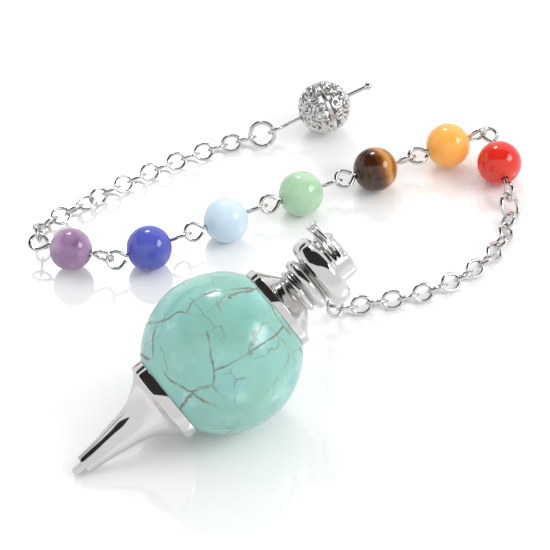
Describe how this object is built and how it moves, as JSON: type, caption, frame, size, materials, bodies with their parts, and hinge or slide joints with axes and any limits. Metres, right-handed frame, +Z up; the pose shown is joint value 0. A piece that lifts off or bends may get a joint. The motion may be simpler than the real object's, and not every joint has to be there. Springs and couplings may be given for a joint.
{
  "type": "dowsing pendulum",
  "caption": "Dowsing pendulum: a stone ball with turned metal caps and a point, on a cable chain with coloured stone beads and a filigree ball to hold.",
  "frame": {"origin": "middle of the bottom of the object's box, on the table it lies on", "axes": "+Z up; the camera side is -Y; the pendulum points down towards -X and -Y and its chain lies behind it, towards +Y"},
  "size_m": [0.0656, 0.0668, 0.0213],
  "materials": {
    "turquoise": "gloss",
    "silver_plate": "polished",
    "red_stone": "gloss",
    "yellow_stone": "gloss",
    "tiger_eye_stone": "gloss",
    "green_stone": "gloss",
    "pale_blue_stone": "gloss",
    "blue_stone": "gloss",
    "violet_stone": "gloss"
  },
  "bodies": {
    "pendulum": {"point_cap": "silver_plate", "stone_ball": "turquoise", "top_cap": "silver_plate"},
    "split_ring": {"split_ring": "silver_plate"},
    "hanger_link": {"hanger_link": "silver_plate"},
    "hanger_ring_1": {"hanger_ring_1": "silver_plate"},
    "hanger_ring_2": {"hanger_ring_2": "silver_plate"},
    "hanger_loop": {"hanger_loop": "silver_plate"},
    "jump_ring_1": {"jump_ring_1": "silver_plate"},
    "chain_a_01": {"chain_a_01": "silver_plate"},
    "chain_a_02": {"chain_a_02": "silver_plate"},
    "chain_a_03": {"chain_a_03": "silver_plate"},
    "chain_a_04": {"chain_a_04": "silver_plate"},
    "chain_a_05": {"chain_a_05": "silver_plate"},
    "chain_a_06": {"chain_a_06": "silver_plate"},
    "chain_a_07": {"chain_a_07": "silver_plate"},
    "chain_a_08": {"chain_a_08": "silver_plate"},
    "chain_a_09": {"chain_a_09": "silver_plate"},
    "chain_a_10": {"chain_a_10": "silver_plate"},
    "chain_a_11": {"chain_a_11": "silver_plate"},
    "chain_a_12": {"chain_a_12": "silver_plate"},
    "chain_a_13": {"chain_a_13": "silver_plate"},
    "chain_a_14": {"chain_a_14": "silver_plate"},
    "chain_a_15": {"chain_a_15": "silver_plate"},
    "jump_ring_2": {"jump_ring_2": "silver_plate"},
    "eye_pin_1": {"eye_pin_1": "silver_plate"},
    "eye_pin_2": {"eye_pin_2": "silver_plate"},
    "eye_pin_3": {"eye_pin_3": "silver_plate"},
    "eye_pin_4": {"eye_pin_4": "silver_plate"},
    "eye_pin_5": {"eye_pin_5": "silver_plate"},
    "eye_pin_6": {"eye_pin_6": "silver_plate"},
    "eye_pin_7": {"eye_pin_7": "silver_plate"},
    "chain_b_01": {"chain_b_01": "silver_plate"},
    "chain_b_02": {"chain_b_02": "silver_plate"},
    "chain_b_03": {"chain_b_03": "silver_plate"},
    "chain_b_04": {"chain_b_04": "silver_plate"},
    "chain_b_05": {"chain_b_05": "silver_plate"},
    "chain_b_06": {"chain_b_06": "silver_plate"},
    "chain_b_07": {"chain_b_07": "silver_plate"},
    "chain_b_08": {"chain_b_08": "silver_plate"},
    "chain_b_09": {"chain_b_09": "silver_plate"},
    "chain_b_10": {"chain_b_10": "silver_plate"},
    "chain_b_11": {"chain_b_11": "silver_plate"},
    "chain_b_12": {"chain_b_12": "silver_plate"},
    "chain_b_13": {"chain_b_13": "silver_plate"},
    "chain_b_14": {"chain_b_14": "silver_plate"},
    "chain_b_15": {"chain_b_15": "silver_plate"},
    "chain_b_16": {"chain_b_16": "silver_plate"},
    "chain_b_17": {"chain_b_17": "silver_plate"},
    "chain_b_18": {"chain_b_18": "silver_plate"},
    "jump_ring_3": {"jump_ring_3": "silver_plate"},
    "end_pin": {"end_pin": "silver_plate"},
    "bead_red": {"bead_red": "red_stone"},
    "bead_yellow": {"bead_yellow": "yellow_stone"},
    "bead_tiger_eye": {"bead_tiger_eye": "tiger_eye_stone"},
    "bead_green": {"bead_green": "green_stone"},
    "bead_pale_blue": {"bead_pale_blue": "pale_blue_stone"},
    "bead_blue": {"bead_blue": "blue_stone"},
    "bead_violet": {"bead_violet": "violet_stone"},
    "filigree_ball": {"filigree_ball": "silver_plate"}
  },
  "joints": [
    {"name": "split_ring_swing", "type": "hinge", "parent": "pendulum", "child": "split_ring", "pos_m": [0.00544, -0.01188, 0.0187], "axis": [0.7747, 0.4841, 0.4067], "range_deg": [0, 30]},
    {"name": "hanger_link_swing", "type": "hinge", "parent": "split_ring", "child": "hanger_link", "pos_m": [0.00519, -0.00987, 0.01714], "axis": [-0.6162, 0.4341, 0.6571], "range_deg": [-30, 0]},
    {"name": "hanger_ring_1_swing", "type": "hinge", "parent": "hanger_link", "child": "hanger_ring_1", "pos_m": [0.0055, -0.00792, 0.01349], "axis": [-0.8726, -0.3966, -0.2852], "range_deg": [-30, 30]},
    {"name": "hanger_ring_2_swing", "type": "hinge", "parent": "hanger_ring_1", "child": "hanger_ring_2", "pos_m": [0.00558, -0.00708, 0.00953], "axis": [-0.4547, 0.8728, 0.1774], "range_deg": [-30, 30]},
    {"name": "hanger_loop_swing", "type": "hinge", "parent": "hanger_ring_2", "child": "hanger_loop", "pos_m": [0.00554, -0.0073, 0.00554], "axis": [0.5658, 0.8229, -0.0521], "range_deg": [-30, 30]},
    {"name": "jump_ring_1_swing", "type": "hinge", "parent": "hanger_loop", "child": "jump_ring_1", "pos_m": [0.00667, -0.00715, 0.00271], "axis": [-0.7939, 0.535, -0.2888], "range_deg": [-30, 30]},
    {"name": "chain_a_01_swing", "type": "hinge", "parent": "jump_ring_1", "child": "chain_a_01", "pos_m": [0.00805, -0.00654, 0.0016], "axis": [0.1364, 0.7871, 0.6016], "range_deg": [-30, 30]},
    {"name": "chain_a_02_swing", "type": "hinge", "parent": "chain_a_01", "child": "chain_a_02", "pos_m": [0.00984, -0.00569, 0.00105], "axis": [0.4741, -0.5577, 0.6813], "range_deg": [-30, 30]},
    {"name": "chain_a_03_swing", "type": "hinge", "parent": "chain_a_02", "child": "chain_a_03", "pos_m": [0.0118, -0.00499, 0.00113], "axis": [0.2659, -0.6558, -0.7065], "range_deg": [-30, 30]},
    {"name": "chain_a_04_swing", "type": "hinge", "parent": "chain_a_03", "child": "chain_a_04", "pos_m": [0.01386, -0.00468, 0.00113], "axis": [-0.1038, 0.6994, -0.7071], "range_deg": [-30, 30]},
    {"name": "chain_a_05_swing", "type": "hinge", "parent": "chain_a_04", "child": "chain_a_05", "pos_m": [0.01588, -0.00421, 0.00113], "axis": [-0.16, 0.6888, 0.7071], "range_deg": [-30, 30]},
    {"name": "chain_a_06_swing", "type": "hinge", "parent": "chain_a_05", "child": "chain_a_06", "pos_m": [0.01785, -0.00354, 0.00113], "axis": [0.2275, -0.6695, 0.7071], "range_deg": [-30, 30]},
    {"name": "chain_a_07_swing", "type": "hinge", "parent": "chain_a_06", "child": "chain_a_07", "pos_m": [0.01977, -0.00273, 0.00113], "axis": [0.2762, -0.6509, -0.7071], "range_deg": [-30, 30]},
    {"name": "chain_a_08_swing", "type": "hinge", "parent": "chain_a_07", "child": "chain_a_08", "pos_m": [0.0216, -0.00176, 0.00113], "axis": [-0.3308, 0.6249, -0.7071], "range_deg": [-30, 30]},
    {"name": "chain_a_09_swing", "type": "hinge", "parent": "chain_a_08", "child": "chain_a_09", "pos_m": [0.02335, -0.00062, 0.00113], "axis": [-0.386, 0.5925, 0.7071], "range_deg": [-30, 30]},
    {"name": "chain_a_10_swing", "type": "hinge", "parent": "chain_a_09", "child": "chain_a_10", "pos_m": [0.02499, 0.00065, 0.00113], "axis": [0.4322, -0.5597, 0.7071], "range_deg": [-30, 30]},
    {"name": "chain_a_11_swing", "type": "hinge", "parent": "chain_a_10", "child": "chain_a_11", "pos_m": [0.02651, 0.00207, 0.00113], "axis": [0.4847, -0.5148, -0.7071], "range_deg": [-30, 30]},
    {"name": "chain_a_12_swing", "type": "hinge", "parent": "chain_a_11", "child": "chain_a_12", "pos_m": [0.02787, 0.00365, 0.00113], "axis": [-0.5358, 0.4615, -0.7071], "range_deg": [-30, 30]},
    {"name": "chain_a_13_swing", "type": "hinge", "parent": "chain_a_12", "child": "chain_a_13", "pos_m": [0.02898, 0.00541, 0.00113], "axis": [-0.596, 0.3805, 0.7071], "range_deg": [-30, 30]},
    {"name": "chain_a_14_swing", "type": "hinge", "parent": "chain_a_13", "child": "chain_a_14", "pos_m": [0.02981, 0.00731, 0.00111], "axis": [0.6502, -0.2781, 0.7071], "range_deg": [-30, 30]},
    {"name": "chain_a_15_swing", "type": "hinge", "parent": "chain_a_14", "child": "chain_a_15", "pos_m": [0.03039, 0.00931, 0.00117], "axis": [0.6842, -0.1795, -0.7068], "range_deg": [-25, 30]},
    {"name": "jump_ring_2_swing", "type": "hinge", "parent": "chain_a_15", "child": "jump_ring_2", "pos_m": [0.03073, 0.01136, 0.00133], "axis": [-0.689, 0.1675, -0.7051], "range_deg": [-30, 30]},
    {"name": "eye_pin_1_swing", "type": "hinge", "parent": "jump_ring_2", "child": "eye_pin_1", "pos_m": [0.03092, 0.01369, 0.00262], "axis": [-0.7332, -0.2828, 0.6185], "range_deg": [-30, 30]},
    {"name": "eye_pin_2_swing", "type": "hinge", "parent": "eye_pin_1", "child": "eye_pin_2", "pos_m": [0.02768, 0.02457, 0.00386], "axis": [-0.091, 0.9936, 0.0664], "range_deg": [-10, 30]},
    {"name": "eye_pin_3_swing", "type": "hinge", "parent": "eye_pin_2", "child": "eye_pin_3", "pos_m": [0.01776, 0.02035, 0.0031], "axis": [0.393, -0.8663, -0.3082], "range_deg": [-30, 30]},
    {"name": "eye_pin_4_swing", "type": "hinge", "parent": "eye_pin_3", "child": "eye_pin_4", "pos_m": [0.00768, 0.0157, 0.00313], "axis": [-0.3413, 0.7447, 0.5736], "range_deg": [-30, 30]},
    {"name": "eye_pin_5_swing", "type": "hinge", "parent": "eye_pin_4", "child": "eye_pin_5", "pos_m": [-0.00235, 0.01072, 0.00313], "axis": [-0.3141, 0.6335, 0.7071], "range_deg": [-30, 30]},
    {"name": "eye_pin_6_swing", "type": "hinge", "parent": "eye_pin_5", "child": "eye_pin_6", "pos_m": [-0.0122, 0.0054, 0.00313], "axis": [0.3361, -0.6221, -0.7071], "range_deg": [-30, 30]},
    {"name": "eye_pin_7_swing", "type": "hinge", "parent": "eye_pin_6", "child": "eye_pin_7", "pos_m": [-0.02211, 0.00074, 0.00364], "axis": [-0.3154, -0.7792, -0.5417], "range_deg": [-30, 30]},
    {"name": "chain_b_01_swing", "type": "hinge", "parent": "eye_pin_7", "child": "chain_b_01", "pos_m": [-0.03149, 0.00512, 0.0034], "axis": [0.9857, 0.0287, 0.1663], "range_deg": [-30, 30]},
    {"name": "chain_b_02_swing", "type": "hinge", "parent": "chain_b_01", "child": "chain_b_02", "pos_m": [-0.03143, 0.00694, 0.00251], "axis": [-0.1619, 0.4385, 0.884], "range_deg": [-30, 30]},
    {"name": "chain_b_03_swing", "type": "hinge", "parent": "chain_b_02", "child": "chain_b_03", "pos_m": [-0.0309, 0.00877, 0.00169], "axis": [0.9277, -0.3375, -0.1595], "range_deg": [-15, 30]},
    {"name": "chain_b_04_swing", "type": "hinge", "parent": "chain_b_03", "child": "chain_b_04", "pos_m": [-0.02958, 0.01036, 0.00141], "axis": [0.4018, -0.1778, 0.8983], "range_deg": [-5, 30]},
    {"name": "chain_b_05_swing", "type": "hinge", "parent": "chain_b_04", "child": "chain_b_05", "pos_m": [-0.02796, 0.01165, 0.00132], "axis": [-0.5039, 0.6708, 0.5441], "range_deg": [-30, 30]},
    {"name": "chain_b_06_swing", "type": "hinge", "parent": "chain_b_05", "child": "chain_b_06", "pos_m": [-0.02638, 0.01301, 0.00126], "axis": [-0.3638, 0.386, -0.8477], "range_deg": [-30, 10]},
    {"name": "chain_b_07_swing", "type": "hinge", "parent": "chain_b_06", "child": "chain_b_07", "pos_m": [-0.0248, 0.01436, 0.00121], "axis": [0.6415, -0.7622, -0.0871], "range_deg": [-30, 30]},
    {"name": "chain_b_08_swing", "type": "hinge", "parent": "chain_b_07", "child": "chain_b_08", "pos_m": [-0.02319, 0.01568, 0.00115], "axis": [0.2189, -0.3051, -0.9268], "range_deg": [-30, 30]},
    {"name": "chain_b_09_swing", "type": "hinge", "parent": "chain_b_08", "child": "chain_b_09", "pos_m": [-0.02153, 0.01693, 0.00113], "axis": [-0.4314, 0.5604, -0.7071], "range_deg": [-30, 30]},
    {"name": "chain_b_10_swing", "type": "hinge", "parent": "chain_b_09", "child": "chain_b_10", "pos_m": [-0.01984, 0.01814, 0.00113], "axis": [0.4119, -0.5748, -0.7071], "range_deg": [-30, 30]},
    {"name": "chain_b_11_swing", "type": "hinge", "parent": "chain_b_10", "child": "chain_b_11", "pos_m": [-0.01813, 0.01932, 0.00113], "axis": [0.399, -0.5838, 0.7071], "range_deg": [-30, 30]},
    {"name": "chain_b_12_swing", "type": "hinge", "parent": "chain_b_11", "child": "chain_b_12", "pos_m": [-0.01638, 0.02045, 0.00113], "axis": [-0.3849, 0.5932, 0.7071], "range_deg": [-30, 30]},
    {"name": "chain_b_13_swing", "type": "hinge", "parent": "chain_b_12", "child": "chain_b_13", "pos_m": [-0.01461, 0.02154, 0.00113], "axis": [-0.3698, 0.6027, -0.7071], "range_deg": [-30, 30]},
    {"name": "chain_b_14_swing", "type": "hinge", "parent": "chain_b_13", "child": "chain_b_14", "pos_m": [-0.01281, 0.02258, 0.00113], "axis": [0.3531, -0.6126, -0.7071], "range_deg": [-30, 30]},
    {"name": "chain_b_15_swing", "type": "hinge", "parent": "chain_b_14", "child": "chain_b_15", "pos_m": [-0.01097, 0.02356, 0.00113], "axis": [0.3341, -0.6232, 0.7071], "range_deg": [-30, 30]},
    {"name": "chain_b_16_swing", "type": "hinge", "parent": "chain_b_15", "child": "chain_b_16", "pos_m": [-0.0091, 0.02447, 0.00111], "axis": [-0.3078, 0.6366, 0.7071], "range_deg": [-30, 30]},
    {"name": "chain_b_17_swing", "type": "hinge", "parent": "chain_b_16", "child": "chain_b_17", "pos_m": [-0.00721, 0.02533, 0.00112], "axis": [-0.2886, 0.6456, -0.7071], "range_deg": [-30, 30]},
    {"name": "chain_b_18_swing", "type": "hinge", "parent": "chain_b_17", "child": "chain_b_18", "pos_m": [-0.00525, 0.02602, 0.00124], "axis": [0.2724, -0.6538, -0.7059], "range_deg": [-30, 30]},
    {"name": "jump_ring_3_swing", "type": "hinge", "parent": "chain_b_18", "child": "jump_ring_3", "pos_m": [-0.00324, 0.0264, 0.00164], "axis": [-0.0016, -0.72, 0.6939], "range_deg": [-30, 30]},
    {"name": "end_pin_swing", "type": "hinge", "parent": "jump_ring_3", "child": "end_pin", "pos_m": [-0.00071, 0.02681, 0.00239], "axis": [-0.3083, 0.6663, 0.6789], "range_deg": [-30, 30]},
    {"name": "bead_red_spin", "type": "hinge", "parent": "eye_pin_1", "child": "bead_red", "pos_m": [0.0298, 0.0194, 0.00314], "axis": [-0.192, 0.9774, 0.0886], "continuous": true},
    {"name": "bead_yellow_spin", "type": "hinge", "parent": "eye_pin_2", "child": "bead_yellow", "pos_m": [0.02302, 0.02259, 0.0035], "axis": [-0.9176, -0.3911, -0.0706], "continuous": true},
    {"name": "bead_tiger_eye_spin", "type": "hinge", "parent": "eye_pin_3", "child": "bead_tiger_eye", "pos_m": [0.01302, 0.01816, 0.00311], "axis": [-0.9081, -0.4187, 0.0031], "continuous": true},
    {"name": "bead_green_spin", "type": "hinge", "parent": "eye_pin_4", "child": "bead_green", "pos_m": [0.00296, 0.01336, 0.00313], "axis": [-0.8959, -0.4443, 0], "continuous": true},
    {"name": "bead_pale_blue_spin", "type": "hinge", "parent": "eye_pin_5", "child": "bead_pale_blue", "pos_m": [-0.00699, 0.00822, 0.00313], "axis": [-0.8798, -0.4753, 0], "continuous": true},
    {"name": "bead_blue_spin", "type": "hinge", "parent": "eye_pin_6", "child": "bead_blue", "pos_m": [-0.01687, 0.00294, 0.00313], "axis": [-0.8843, -0.467, 0], "continuous": true},
    {"name": "bead_violet_spin", "type": "hinge", "parent": "eye_pin_7", "child": "bead_violet", "pos_m": [-0.02698, 0.00247, 0.00336], "axis": [-0.9412, 0.3335, -0.0547], "continuous": true},
    {"name": "filigree_ball_spin", "type": "hinge", "parent": "end_pin", "child": "filigree_ball", "pos_m": [0.00627, 0.02984, 0.0041], "axis": [0.8953, 0.3878, 0.2192], "continuous": true}
  ]
}
